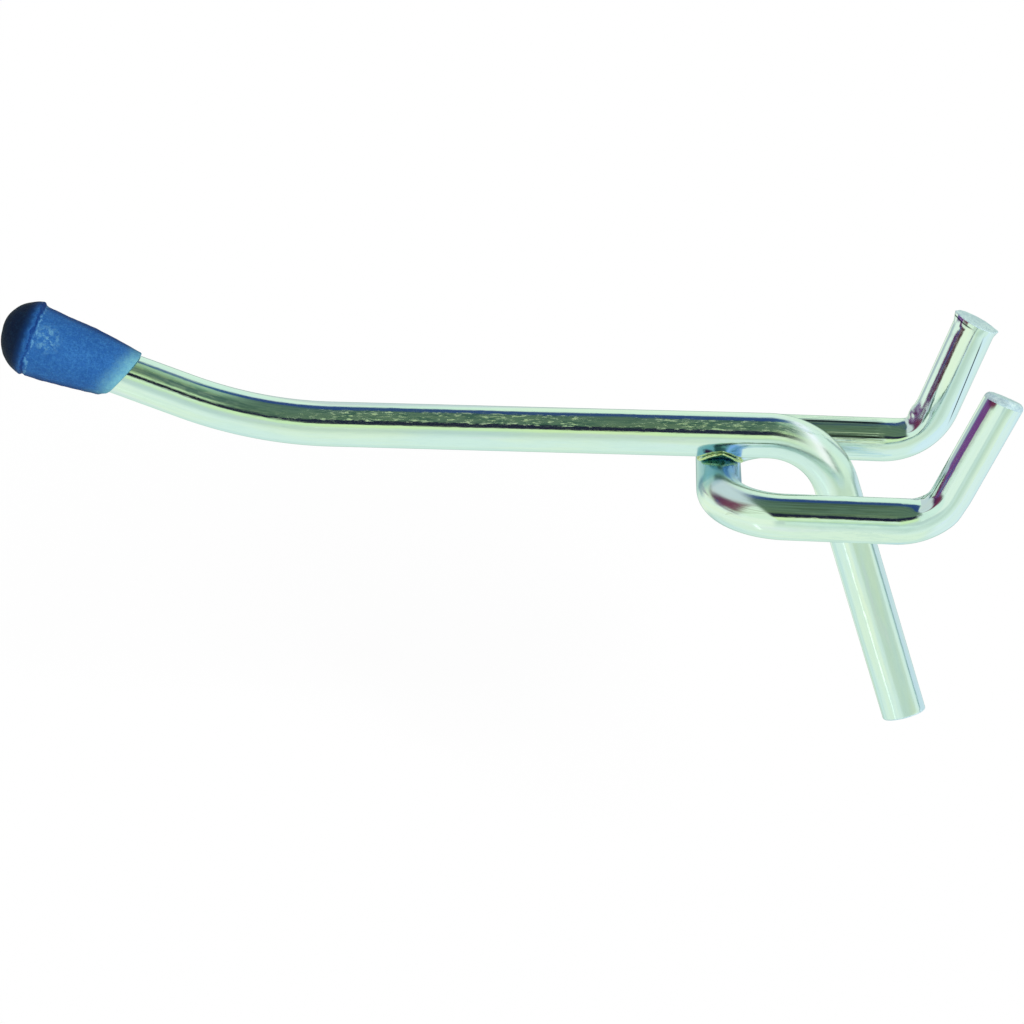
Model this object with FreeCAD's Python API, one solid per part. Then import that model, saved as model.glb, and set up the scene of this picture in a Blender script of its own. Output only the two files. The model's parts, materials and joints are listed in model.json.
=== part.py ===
import FreeCAD, Part
import math
import os

# Pegboard hook, in millimetres. One wire makes the arm: an upturned tip, a straight run, a heel
# bend and a leg that bears on the board. A second wire is a U whose two pegs pass through the
# board and turn up behind it. The U is welded across the underside of the arm, and a soft cap
# covers the tip. X runs along the arm with the board at +X, and Z is up. The origin is midway
# between the pegs, on their centrelines, where they meet the board's front face.

# Both wires
wire_d = 5.6
end_break = 0.2

# Arm wire, whose angles are measured from its straight run
arm_run = 48.6
heel_run = 5.65
heel_bend_r = 9.1
leg_angle = 72.2
leg_run = 33.5
tip_bend_r = 52.6
tip_angle = 20.2
tip_run = 21.5

# Peg wire, whose lengths are measured to the corners of its centreline
peg_pitch = 25.4
peg_reach = 25.55
peg_droop = 0.66
peg_corner_r = 8.0
prong_run = 17.5
prong_bend_r = 7.2
near_prong_angle = 66.7
far_prong_angle = 71.1
burr_over = 0.15
burr_thick = 0.3
board_to_cross = 20.9

# Weld between the wires
weld_set_down = 0.45
flash_swell = 0.45

# Tip cap, measured along the tip from the end of the wire inside it
cap_end_wall = 2.5
cap_lip_back = 1.2
cap_lip_d = 9.5
cap_lip_offset = 0.25
cap_lip_fall = 0.4
cap_body_d = 9.0
cap_grip = 14.7
cap_rim_wall = 0.4
cap_rim_slant = 23.0

# Directions and places that the sizes above fix
X = FreeCAD.Vector(1, 0, 0)
Y = FreeCAD.Vector(0, 1, 0)
Z = FreeCAD.Vector(0, 0, 1)
NEAR = -1
FAR = 1
wire_r = wire_d / 2
droop = math.radians(peg_droop)
cross = FreeCAD.Vector(-board_to_cross * math.cos(droop), 0, board_to_cross * math.sin(droop))
arm_over_cross = cross + Z * (wire_d - weld_set_down)


def upward(degrees):
    """Unit vector in the XZ plane that rises from +X by an angle."""
    angle = math.radians(degrees)
    return X * math.cos(angle) + Z * math.sin(angle)


def bend_edge(start, heading, turn_axis, radius, degrees):
    """Arc that leaves start along heading and turns about turn_axis, its end and its last heading."""
    centre = start + turn_axis.cross(heading) * radius
    half_turn = FreeCAD.Rotation(turn_axis, degrees / 2)
    full_turn = FreeCAD.Rotation(turn_axis, degrees)
    middle = centre + half_turn.multVec(start - centre)
    end = centre + full_turn.multVec(start - centre)
    return Part.Arc(start, middle, end).toShape(), end, full_turn.multVec(heading)


def round_wire(start, heading, steps):
    """Wire that follows steps, each a straight length or a bend (turn_axis, radius, degrees)."""
    section = Part.Wire([Part.makeCircle(wire_r, start, heading)])
    edges = []
    point = start
    for step in steps:
        if isinstance(step, tuple):
            edge, point, heading = bend_edge(point, heading, *step)
        else:
            edge = Part.makeLine(point, point + heading * step)
            point = point + heading * step
        edges.append(edge)
    return Part.Wire(edges).makePipeShell([section], True, False)


def break_end(solid, end):
    """The wire with the sharp rim round one of its ends taken off."""
    circles = [edge for edge in solid.Edges if edge.Curve.TypeId == "Part::GeomCircle"]
    rims = [edge for edge in circles if edge.Curve.Center.distanceToPoint(end) < end_break]
    return solid.makeChamfer(end_break, rims)


def tip_end():
    """End of the wire inside the cap, and the direction in which the tip points."""
    bend_start = arm_over_cross - X * arm_run
    _, bend_end, outward = bend_edge(bend_start, -X, Y, tip_bend_r, tip_angle)
    return bend_end + outward * tip_run, outward


def make_arm_wire():
    """Tip, arm, heel bend and leg, from the tip's end to the foot."""
    end, outward = tip_end()
    tip_bend = (-Y, tip_bend_r, tip_angle)
    heel_bend = (Y, heel_bend_r, leg_angle)
    wire = round_wire(end, -outward, [tip_run, tip_bend, arm_run + heel_run, heel_bend, leg_run])
    heel_start = arm_over_cross + X * heel_run
    _, heel_end, down = bend_edge(heel_start, X, Y, heel_bend_r, leg_angle)
    return break_end(wire, heel_end + down * leg_run)


def prong_angle(side):
    return near_prong_angle if side == NEAR else far_prong_angle


def prong_corner(side):
    """Where the centrelines of a peg and its prong meet, in the undrooped plane of the pegs."""
    return cross + X * peg_reach + Y * side * peg_pitch / 2


def bend_setback(side):
    """Distance from the prong's corner to either end of its bend."""
    return prong_bend_r * math.tan(math.radians(prong_angle(side)) / 2)


def slab(outline):
    """Thick plate that crosses the wire, from an outline in the XZ plane."""
    face = Part.Face(Part.Wire(outline))
    face.translate(-Y * wire_d)
    return face.extrude(Y * 2 * wire_d)


def half_pinched_bend(start, angle):
    """First half of a bend pinched by the die: a torus outside, the bare straight rod inside.

    The wire leaves start along X. In every plane through the bend's centre the torus and the rod
    cross at 2 R / (1 + cos turn), so the sheet that parts them is a parabola about that centre.
    The rod's skin is free-form here: only the runs beyond the bend are round all the way about.
    """
    centre = start + Z * prong_bend_r
    half_turn = math.radians(angle / 2)
    section = Part.Face(Part.Wire([Part.makeCircle(wire_r, start, X)]))
    torus = section.revolve(centre, -Y, angle / 2)
    rod_length = prong_bend_r * math.tan(half_turn) + wire_d
    rod = Part.makeCylinder(wire_r, rod_length, start, X).toNurbs()
    width = 2 * prong_bend_r * math.tan(half_turn / 2)
    sheet_end = centre + X * width - Z * (prong_bend_r - width ** 2 / (4 * prong_bend_r))
    sheet = Part.BezierCurve()
    sheet.setPoles([start, start + X * width / 2, sheet_end])
    far_out = centre + (sheet_end - centre).normalize() * (prong_bend_r + wire_d) / math.cos(half_turn)
    below = start - Z * wire_d
    outside = [sheet.toShape(), *Part.makePolygon([sheet_end, far_out, below, start]).Edges]
    inside = [sheet.toShape(), *Part.makePolygon([sheet_end, centre, start]).Edges]
    return torus.common(slab(outside)).fuse(rod.common(slab(inside))).removeSplitter()


def pinched_bend(side):
    """Bend with the large round outside of a bending die and a sharp crease inside."""
    angle = prong_angle(side)
    half = half_pinched_bend(prong_corner(side) - X * bend_setback(side), angle)
    return half.fuse(half.mirror(prong_corner(side), upward(angle / 2)))


def make_prong(side):
    """Straight prong above its bend, with the burr that the shear leaves round the far one."""
    rise = upward(prong_angle(side))
    start = prong_corner(side) + rise * bend_setback(side)
    length = prong_run - bend_setback(side)
    prong = Part.makeCylinder(wire_r, length, start, rise)
    if side == FAR:
        burr_start = start + rise * (length - burr_thick)
        return prong.fuse(Part.makeCone(wire_r, wire_r + burr_over, burr_thick, burr_start, rise))
    return break_end(prong, start + rise * length)


def make_peg_wire(arm_wire):
    """U of crosspiece and pegs with both prongs, saddled under the arm."""
    start = prong_corner(NEAR) - X * bend_setback(NEAR)
    square_turn = 90
    corner = (-Z, peg_corner_r, square_turn)
    straight = peg_reach - peg_corner_r
    crosspiece = peg_pitch - 2 * peg_corner_r
    steps = [straight - bend_setback(NEAR), corner, crosspiece, corner, straight - bend_setback(FAR)]
    wire = round_wire(start, -X, steps)
    for side in (NEAR, FAR):
        wire = wire.fuse([pinched_bend(side), make_prong(side)])
    wire = wire.removeSplitter()
    wire.rotate(cross, Y, peg_droop)
    return wire.cut(arm_wire)


def make_weld_flash(arm_wire, peg_wire):
    """Metal squeezed out round the joint, a collar that fills the corner between the wires."""
    swollen_r = wire_r + flash_swell
    under_arm = Part.makeCylinder(swollen_r, 2 * wire_d, arm_over_cross - X * wire_d, X)
    round_cross = Part.makeCylinder(swollen_r, 2 * wire_d, cross - Y * wire_d, Y)
    return under_arm.common(round_cross).cut(arm_wire).cut(peg_wire)


def cap_point(along, out):
    """Point on the cap's profile, in the plane of the arm: along the tip, and out towards its top."""
    end, outward = tip_end()
    return end + outward * along + Y.cross(outward) * out


def revolved(outline, axis_out):
    """Solid made by turning an outline about the tip's direction, axis_out above the wire's axis."""
    _, outward = tip_end()
    return Part.Face(Part.Wire(outline)).revolve(cap_point(0, axis_out), outward, 360)


def cap_skirt():
    """Tapered body, from the lip to its thin rim."""
    rim_r = wire_r + cap_rim_wall
    corners = [(-cap_grip, 0), (-cap_grip, rim_r), (-cap_lip_back, cap_body_d / 2), (-cap_lip_back, 0)]
    return revolved([Part.makePolygon([cap_point(*corner) for corner in corners + corners[:1]])], 0)


def cap_dome():
    """Domed end with a lip that stands proud of the body at the top and sinks into it below."""
    lip_r = cap_lip_d / 2
    height = cap_end_wall + cap_lip_back
    dome_r = (lip_r ** 2 + height ** 2) / (2 * height)
    middle = math.atan2(lip_r, dome_r - height) / 2
    shoulder = cap_point(
        cap_end_wall - dome_r + dome_r * math.cos(middle), cap_lip_offset + dome_r * math.sin(middle)
    )
    apex = cap_point(cap_end_wall, cap_lip_offset)
    lip = cap_point(-cap_lip_back, cap_lip_offset + lip_r)
    foot = cap_point(-cap_lip_back - cap_lip_fall, cap_lip_offset + lip_r - cap_lip_fall)
    centre = cap_point(-cap_lip_back - cap_lip_fall, cap_lip_offset)
    straight = Part.makePolygon([lip, foot, centre, apex])
    return revolved([Part.Arc(apex, shoulder, lip).toShape(), *straight.Edges], cap_lip_offset)


def make_tip_cap(arm_wire):
    """Soft cap pushed over the tip, with its rim cut at a slant."""
    end, outward = tip_end()
    size = 2 * cap_grip
    trim = Part.makeBox(size, size, size, FreeCAD.Vector(-size, -size / 2, -size / 2))
    trim.rotate(FreeCAD.Vector(), Y, cap_rim_slant)
    trim.Placement = FreeCAD.Placement(FreeCAD.Vector(), FreeCAD.Rotation(X, outward)) * trim.Placement
    trim.translate(cap_point(-cap_grip, wire_r + cap_rim_wall))
    cap = cap_skirt().fuse(cap_dome()).removeSplitter()
    return cap.cut(trim).cut(arm_wire)


def build():
    os.makedirs("parts", exist_ok=True)
    arm_wire = make_arm_wire()
    peg_wire = make_peg_wire(arm_wire)
    nodes = {
        "arm_wire": arm_wire,
        "peg_wire": peg_wire,
        "weld_flash": make_weld_flash(arm_wire, peg_wire),
        "tip_cap": make_tip_cap(arm_wire),
    }
    for name, shape in nodes.items():
        shape.exportStep(f"parts/{name}.step")
    return nodes


nodes = build()
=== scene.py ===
import json
import math
import bmesh
import bpy
from mathutils import Matrix, Vector, noise

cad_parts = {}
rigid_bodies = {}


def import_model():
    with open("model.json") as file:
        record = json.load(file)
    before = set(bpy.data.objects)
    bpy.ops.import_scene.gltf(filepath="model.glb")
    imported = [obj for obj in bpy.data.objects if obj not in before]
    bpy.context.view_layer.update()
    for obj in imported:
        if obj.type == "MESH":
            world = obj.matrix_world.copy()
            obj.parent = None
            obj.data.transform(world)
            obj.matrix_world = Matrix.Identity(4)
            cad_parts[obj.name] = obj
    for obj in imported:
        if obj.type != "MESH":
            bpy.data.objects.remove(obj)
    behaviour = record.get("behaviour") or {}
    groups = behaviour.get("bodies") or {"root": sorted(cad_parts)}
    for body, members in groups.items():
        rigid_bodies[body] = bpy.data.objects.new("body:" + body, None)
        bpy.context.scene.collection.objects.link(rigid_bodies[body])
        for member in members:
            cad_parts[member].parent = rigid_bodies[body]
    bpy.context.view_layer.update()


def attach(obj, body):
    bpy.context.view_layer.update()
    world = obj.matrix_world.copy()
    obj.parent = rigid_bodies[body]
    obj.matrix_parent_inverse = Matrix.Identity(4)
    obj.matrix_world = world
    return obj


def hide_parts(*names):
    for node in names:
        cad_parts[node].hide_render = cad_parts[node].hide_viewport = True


# A clean file, so that the frame's box holds the hook alone
for leftover in list(bpy.data.objects):
    bpy.data.objects.remove(leftover)

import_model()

MM = 0.001
X = Vector((1, 0, 0))
Y = Vector((0, 1, 0))
Z = Vector((0, 0, 1))

# Sizes of the two wires in millimetres and degrees, as the solids have them
wire_r = 2.8
weld_set_down = 0.45
board_to_cross = 20.9
peg_droop = 0.66
droop = math.radians(peg_droop)
cross = Vector((-board_to_cross * math.cos(droop), 0, board_to_cross * math.sin(droop)))
arm_over_cross = cross + Z * (2 * wire_r - weld_set_down)
weld_centre = (cross + arm_over_cross) / 2


class Socket:
    """A node's output, so that sums on it read as formulas and add their own Math nodes."""

    def __init__(self, tree, output):
        self.tree = tree
        self.output = output

    def math_node(self, operation, *values):
        inputs = dict(enumerate(values))
        return self.tree.node("ShaderNodeMath", {"operation": operation}, inputs)["Value"]

    def __add__(self, other):
        return self.math_node("ADD", self, other)

    def __radd__(self, other):
        return self.math_node("ADD", other, self)

    def __sub__(self, other):
        return self.math_node("SUBTRACT", self, other)

    def __rsub__(self, other):
        return self.math_node("SUBTRACT", other, self)

    def __mul__(self, other):
        return self.math_node("MULTIPLY", self, other)

    def __rmul__(self, other):
        return self.math_node("MULTIPLY", other, self)

    def __truediv__(self, other):
        return self.math_node("DIVIDE", self, other)

    def __pow__(self, other):
        return self.math_node("POWER", self, other)

    def __lt__(self, other):
        return self.math_node("LESS_THAN", self, other)

    def __gt__(self, other):
        return self.math_node("GREATER_THAN", self, other)

    def function(self, operation):
        return self.math_node(operation, self)

    def at_least(self, other):
        return self.math_node("MAXIMUM", self, other)

    def at_most(self, other):
        return self.math_node("MINIMUM", self, other)


class Tree:
    """A node tree, shader or geometry, that is written as calls and formulas."""

    def __init__(self, tree):
        self.tree = tree

    def node(self, kind, settings=None, inputs=None):
        """Adds a node, sets its settings and then its inputs, and gives its outputs by name."""
        made = self.tree.nodes.new(kind)
        for name, value in (settings or {}).items():
            if name == "stops":
                self.stops(made.color_ramp, value)
            else:
                setattr(made, name, value)
        for name, value in (inputs or {}).items():
            self.feed(self.find(made, name), value)
        return {s.name: Socket(self, s) for s in reversed(made.outputs) if s.enabled}

    def find(self, made, name):
        if isinstance(name, int):
            return made.inputs[name]
        return next(s for s in made.inputs if s.enabled and s.name == name)

    def feed(self, socket, value):
        if isinstance(value, Socket):
            self.tree.links.new(value.output, socket)
        else:
            socket.default_value = value

    def stops(self, ramp, stops):
        while len(ramp.elements) > 1:
            ramp.elements.remove(ramp.elements[-1])
        for index, (place, colour) in enumerate(stops):
            stop = ramp.elements[0] if index == 0 else ramp.elements.new(place)
            stop.position = place
            stop.color = (*colour, 1)

    def mix(self, factor, a, b):
        """Colour between a and b."""
        inputs = {"Factor": factor, "A": rgba(a), "B": rgba(b)}
        return self.node("ShaderNodeMix", {"data_type": "RGBA"}, inputs)["Result"]

    def tint(self, a, b):
        """Colour a multiplied by colour b."""
        settings = {"data_type": "RGBA", "blend_type": "MULTIPLY"}
        inputs = {"Factor": 1.0, "A": rgba(a), "B": rgba(b)}
        return self.node("ShaderNodeMix", settings, inputs)["Result"]

    def vector(self, operation, a, b=None, scale=None):
        inputs = {0: a}
        if b is not None:
            inputs[1] = b
        if scale is not None:
            inputs["Scale"] = scale
        made = self.node("ShaderNodeVectorMath", {"operation": operation}, inputs)
        return made["Value"] if "Value" in made else made["Vector"]

    def split(self, value):
        made = self.node("ShaderNodeSeparateXYZ", None, {0: value})
        return made["X"], made["Y"], made["Z"]

    def join(self, x, y, z):
        return self.node("ShaderNodeCombineXYZ", None, {0: x, 1: y, 2: z})["Vector"]

    def distance(self, place, point):
        return self.vector("LENGTH", self.vector("SUBTRACT", place, tuple(point)))

    def component(self, place, start, direction):
        """How far a place lies from start in a direction."""
        away = self.vector("SUBTRACT", place, tuple(start))
        return self.vector("DOT_PRODUCT", away, tuple(direction))

    def noise(self, place, scale, detail=2.0, rough=0.5):
        inputs = {"Vector": place, "Scale": scale, "Detail": detail, "Roughness": rough}
        return self.node("ShaderNodeTexNoise", None, inputs)["Fac"]

    def rise(self, value, start, end):
        """0 below start, 1 above end, smooth between."""
        inputs = {"Value": value, "From Min": start, "From Max": end, "To Min": 0.0, "To Max": 1.0}
        settings = {"interpolation_type": "SMOOTHSTEP"}
        return self.node("ShaderNodeMapRange", settings, inputs)["Result"]

    def band(self, value, start, end, soft):
        """1 between start and end, and 0 outside, with soft edges."""
        risen = self.rise(value, start - soft, start + soft)
        return risen * (1 - self.rise(value, end - soft, end + soft))

    def bump(self, height, distance):
        inputs = {"Height": height, "Distance": distance, "Strength": 1.0}
        return self.node("ShaderNodeBump", None, inputs)["Normal"]


def rgba(colour):
    return colour if isinstance(colour, Socket) else (*colour, 1)


def new_material(name):
    """A new material without nodes, and its tree."""
    made = bpy.data.materials.new(name)
    made.use_nodes = True
    made.node_tree.nodes.clear()
    return made, Tree(made.node_tree)


def finish_surface(tree, shader):
    tree.node("ShaderNodeOutputMaterial", {}, {"Surface": shader})


def skin_place(tree):
    """Place on the straightened wire in millimetres: along it, and across in two directions."""
    skin = tree.node("ShaderNodeAttribute", {"attribute_name": "skin"})["Vector"]
    return tree.vector("SCALE", skin, scale=1 / MM)


def object_place(tree):
    """Place on the hook in millimetres."""
    return tree.vector("SCALE", tree.node("ShaderNodeTexCoord")["Object"], scale=1 / MM)


def drawn_noise(tree, place, along, across, detail=2.0, rough=0.5):
    """Noise on the straightened wire, by its scale along the wire and across it."""
    stretched = tree.vector("MULTIPLY", place, (along, across, across))
    return tree.noise(stretched, 1.0, detail, rough)


def section_turn(tree, centre, axis=X, across=-Y):
    """Angle in degrees round a wire whose centreline passes centre along axis, from across."""
    place = object_place(tree)
    out = tree.component(place, centre, axis.cross(across))
    turn = out.math_node("ARCTAN2", out * -1.0, tree.component(place, centre, across))
    return turn * math.degrees(1)


# Worn and mottled stretches of the arm's wire and of its tip, along it in millimetres and round it
# in degrees
# Round the wire they lie where the dark overhead band is reflected. The blots there and the pale
# colour of the flecks are painted reflection mottle, while their roughness and relief are real
# wear.
arm_wear_and_mottle_along, arm_wear_and_mottle_round = (36.0, 98.0), (32.0, 63.0)
tip_mottle_along, tip_mottle_round = (14.0, 31.0), (34.0, 58.0)

# Hazy places and their reach: by the U's near corner, by the leg, and in the far crease
hazy_spots = [((-19.0, -9.0, 0.0), 8.5), ((-8.0, -2.0, 4.0), 8.5), ((3.0, 12.7, 3.8), 3.6)]


def zinc_finish(name, shine, fleck_and_mottle, heat_reach, marks):
    """Bright zinc plate on a drawn wire, with faint tints along it and blueing by the weld.

    shine is its roughness where it is clean, fleck the share of wear and painted mottle,
    and heat_reach how far the blueing goes. marks adds the marks of one wire, and gives the colour
    and their relief.
    """
    made, tree = new_material(name)
    place = skin_place(tree)
    along, _, _ = tree.split(place)
    drift = drawn_noise(tree, place, 0.05, 0.55)
    veil = drawn_noise(tree, tree.vector("ADD", place, (40.0, 7.0, 3.0)), 0.07, 0.7, 3.0)
    colour = tree.mix(tree.rise(drift, 0.38, 0.62), (0.77, 0.87, 0.90), (0.82, 0.89, 0.82))
    colour = tree.mix(tree.rise(veil, 0.56, 0.74) * 0.5, colour, (0.86, 0.84, 0.97))
    away = tree.distance(object_place(tree), weld_centre)
    patchy = tree.noise(object_place(tree), 0.9, 3.0, 0.6)
    teal = 1 - tree.rise(away + patchy * 2.0, heat_reach, heat_reach * 1.35 + 1.0)
    right = tree.rise(tree.split(object_place(tree))[0], weld_centre.x - 1.0, weld_centre.x + 2.0)
    blued = tree.mix(right, (0.08, 0.34, 0.48), (0.10, 0.32, 0.75))
    colour = tree.mix(teal * 0.85, colour, blued)
    burnt = 1 - tree.rise(away + patchy * 3.4, 3.3, 4.7)
    dark = tree.mix(tree.rise(patchy, 0.42, 0.58), (0.08, 0.20, 0.32), (0.16, 0.26, 0.24))
    colour = tree.mix(burnt * 0.65, colour, dark)
    lines = drawn_noise(tree, place, 0.05, 4.0, 3.0, 0.6)
    grain = drawn_noise(tree, place, 1.1, 2.2, 3.0, 0.6)
    streaks = drawn_noise(tree, place, 0.55, 3.0, 2.0, 0.6)
    swell = drawn_noise(tree, place, 0.12, 0.25, 1.0)
    wear_and_painted_mottle = tree.band(along, *arm_wear_and_mottle_along, 8.0) * tree.rise(swell, 0.25, 0.55) * fleck_and_mottle
    wear_and_painted_mottle = wear_and_painted_mottle * tree.band(section_turn(tree, arm_over_cross), *arm_wear_and_mottle_round, 3.0) + 0.06
    flecks_and_painted_glints = drawn_noise(tree, tree.vector("ADD", place, (9.0, 31.0, 5.0)), 1.0, 4.6, 3.0, 0.6)
    flecks_and_painted_glints = tree.rise(flecks_and_painted_glints, 0.46, 0.70) * wear_and_painted_mottle
    round_tip = section_turn(tree, tip_point, -outward)
    on_tip = tree.band(along, *tip_mottle_along, 7.0) * tree.band(round_tip, *tip_mottle_round, 6.0)
    # Painted reflection mottle: dark blots and pale yellow flecks coloured in where the dark
    # overhead band is reflected. The flecks are also rougher, which is real wear.
    painted_mottle_blots = tree.rise(drawn_noise(tree, place, 0.45, 2.4, 3.0, 0.6), 0.46, 0.60)
    painted_mottle_blots = painted_mottle_blots * (wear_and_painted_mottle + on_tip * fleck_and_mottle)
    colour = tree.mix(painted_mottle_blots * 0.75, colour, (0.36, 0.54, 0.60))
    colour = tree.mix(flecks_and_painted_glints * 0.75, colour, (0.88, 1.0, 0.56))
    colour, ridges = marks(tree, colour)
    height = lines * 0.12 + grain * 0.06 + streaks * (wear_and_painted_mottle * 0.7 + 0.10) + swell * 0.5 + ridges
    normal = tree.bump(height, 0.045 * MM)
    hazy = 0.0
    for centre, reach in hazy_spots:
        spot = tree.distance(object_place(tree), centre)
        hazy = 1 - tree.rise(spot, reach * 0.5, reach) + hazy
    rough = shine + grain * 0.08 + flecks_and_painted_glints * 0.55 + burnt * 0.25 + hazy * 0.12
    shader = tree.node("ShaderNodeBsdfPrincipled", {}, {
        "Base Color": colour, "Metallic": 1.0, "Roughness": rough, "Normal": normal,
    })["BSDF"]
    finish_surface(tree, shader)
    return made


def cut_finish(name):
    """Sheared wire under its zinc, torn a little."""
    made, tree = new_material(name)
    place = object_place(tree)
    torn = tree.noise(place, 1.5, 4.0, 0.65)
    normal = tree.bump(torn, 0.10 * MM)
    colour = tree.mix(tree.rise(torn, 0.4, 0.6), (0.44, 0.58, 0.66), (0.58, 0.72, 0.75))
    shader = tree.node("ShaderNodeBsdfPrincipled", {}, {
        "Base Color": colour, "Metallic": 0.5, "Roughness": 0.3 + torn * 0.2, "Normal": normal,
    })["BSDF"]
    finish_surface(tree, shader)
    return made


def geometry_tree(name, inputs):
    """Geometry tree that takes named inputs besides its geometry."""
    tree = bpy.data.node_groups.new(name, "GeometryNodeTree")
    tree.interface.new_socket("Geometry", in_out="INPUT", socket_type="NodeSocketGeometry")
    tree.interface.new_socket("Geometry", in_out="OUTPUT", socket_type="NodeSocketGeometry")
    for label, kind in inputs.items():
        tree.interface.new_socket(label, in_out="INPUT", socket_type=kind)
    return Tree(tree)


def named(tree, name, kind="FLOAT"):
    settings = {"data_type": kind}
    return tree.node("GeometryNodeInputNamedAttribute", settings, {"Name": name})["Attribute"]


def store(tree, geometry, name, value, kind="FLOAT"):
    settings = {"data_type": kind, "domain": "POINT"}
    inputs = {"Geometry": geometry, "Name": name, "Value": value}
    return tree.node("GeometryNodeStoreNamedAttribute", settings, inputs)["Geometry"]


def pinch(tree, geometry, centre, bisector, half_turn, bend_r, radius, softness):
    """Squeezes a round bend as the die does: round outside, the two straight skins meeting inside.

    At a turn from the bend's end the round skin is a circle about bend_r and the straight skin an
    ellipse about bend_r / cos turn, and they cross at 2 bend_r / (1 + cos turn). The crease between
    the skins is softer towards its sides.
    """
    place = tree.node("GeometryNodeInputPosition")["Position"]
    out_x, across, out_z = tree.split(tree.vector("SUBTRACT", place, centre))
    reach = (out_x * out_x + out_z * out_z) ** 0.5
    toward = tree.join(out_x / reach, 0.0, out_z / reach)
    facing = tree.vector("DOT_PRODUCT", toward, bisector).at_most(1.0)
    side_on = across.function("ABSOLUTE") / radius
    softness = 0.02 + softness * side_on ** 4.0
    turn = half_turn - (facing.function("ARCCOSINE") ** 2.0 + softness * softness) ** 0.5
    shrink = turn.at_least(0.0).function("COSINE")
    crossing = 2 * bend_r / (1 + shrink)
    narrowest = (radius * radius - (crossing - bend_r) ** 2.0) ** 0.5
    new_across = across * narrowest / radius
    depth = (radius * radius - new_across * new_across).at_least(0.0) ** 0.5
    inside = reach < bend_r
    new_reach = inside * (bend_r - depth) / shrink + (1 - inside) * (bend_r + depth)
    moved = tree.vector("ADD", centre, tree.vector("SCALE", toward, scale=new_reach))
    moved = tree.vector("ADD", moved, tree.join(0.0, new_across, 0.0))
    near = (turn > 1e-4) * (reach < bend_r + radius * 1.2)
    near = near * (across.function("ABSOLUTE") < radius * 1.05)
    inputs = {"Geometry": geometry, "Selection": near, "Position": moved}
    return tree.node("GeometryNodeSetPosition", {}, inputs)["Geometry"]


def wire_tree():
    """Sweeps a round wire along corner points, with bends, pinched bends and blank ends."""
    pinches = {}
    for side in ("Near", "Far"):
        pinches[f"{side} Bend Centre"] = "NodeSocketVector"
        pinches[f"{side} Bisector"] = "NodeSocketVector"
        pinches[f"{side} Half Turn"] = "NodeSocketFloat"
        pinches[f"{side} Softness"] = "NodeSocketFloat"
    tree = geometry_tree("drawn wire", {
        "Wire Radius": "NodeSocketFloat", "Sides": "NodeSocketInt", "Bend Steps": "NodeSocketInt",
        "Ring Spacing": "NodeSocketFloat", "Pinched Bend Radius": "NodeSocketFloat", **pinches,
        "Skin": "NodeSocketMaterial", "Cut Face": "NodeSocketMaterial",
    })
    given = tree.node("NodeGroupInput")
    curve = tree.node("GeometryNodeMeshToCurve", {}, {"Mesh": given["Geometry"]})["Curve"]
    bends = {"Curve": curve, "Count": given["Bend Steps"], "Radius": named(tree, "bend_radius")}
    curve = tree.node("GeometryNodeFilletCurve", {"mode": "POLY"}, bends)["Curve"]
    index = tree.node("GeometryNodeInputIndex")["Index"]
    place = tree.node("GeometryNodeInputPosition")["Position"]
    settings = {"data_type": "FLOAT_VECTOR", "domain": "POINT"}
    following = {"Value": place, "Index": index + 1}
    after = tree.node("GeometryNodeFieldAtIndex", settings, following)["Value"]
    run = tree.vector("DISTANCE", place, after)
    cuts = (run / given["Ring Spacing"]).function("FLOOR")
    curve = tree.node("GeometryNodeSubdivideCurve", {}, {"Curve": curve, "Cuts": cuts})["Curve"]
    along = tree.node("GeometryNodeSplineParameter")["Length"]
    curve = store(tree, curve, "along", along)
    ring = {"Resolution": given["Sides"], "Radius": given["Wire Radius"]}
    profile = tree.node("GeometryNodeCurvePrimitiveCircle", {"mode": "RADIUS"}, ring)["Curve"]
    profile = store(tree, profile, "section", place, "FLOAT_VECTOR")
    sweep = {"Curve": curve, "Profile Curve": profile, "Fill Caps": True}
    mesh = tree.node("GeometryNodeCurveToMesh", {}, sweep)["Mesh"]
    section_x, section_y, _ = tree.split(named(tree, "section", "FLOAT_VECTOR"))
    skin = tree.join(named(tree, "along"), section_x, section_y)
    mesh = store(tree, mesh, "skin", skin, "FLOAT_VECTOR")
    for side in ("Near", "Far"):
        mesh = pinch(
            tree, mesh, given[f"{side} Bend Centre"], given[f"{side} Bisector"],
            given[f"{side} Half Turn"], given["Pinched Bend Radius"], given["Wire Radius"],
            given[f"{side} Softness"],
        )
    mesh = tree.node("GeometryNodeRealizeInstances", {}, {"Geometry": mesh})["Geometry"]
    whole = {"Geometry": mesh, "Material": given["Skin"]}
    mesh = tree.node("GeometryNodeSetMaterial", {}, whole)["Geometry"]
    corners = tree.node("GeometryNodeInputMeshFaceNeighbors")["Vertex Count"]
    ends = {"Geometry": mesh, "Selection": corners > 4, "Material": given["Cut Face"]}
    mesh = tree.node("GeometryNodeSetMaterial", {}, ends)["Geometry"]
    tree.node("NodeGroupOutput", {}, {"Geometry": mesh})
    return tree.tree


def applied(piece):
    """The piece with its modifiers turned into its mesh."""
    shown = bpy.context.evaluated_depsgraph_get()
    mesh = bpy.data.meshes.new_from_object(
        piece.evaluated_get(shown), preserve_all_data_layers=True, depsgraph=shown,
    )
    piece.modifiers.clear()
    piece.data = mesh
    mesh.name = piece.name
    return piece


def new_piece(name, mesh):
    piece = bpy.data.objects.new(name, mesh)
    bpy.context.scene.collection.objects.link(piece)
    return piece


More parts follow.
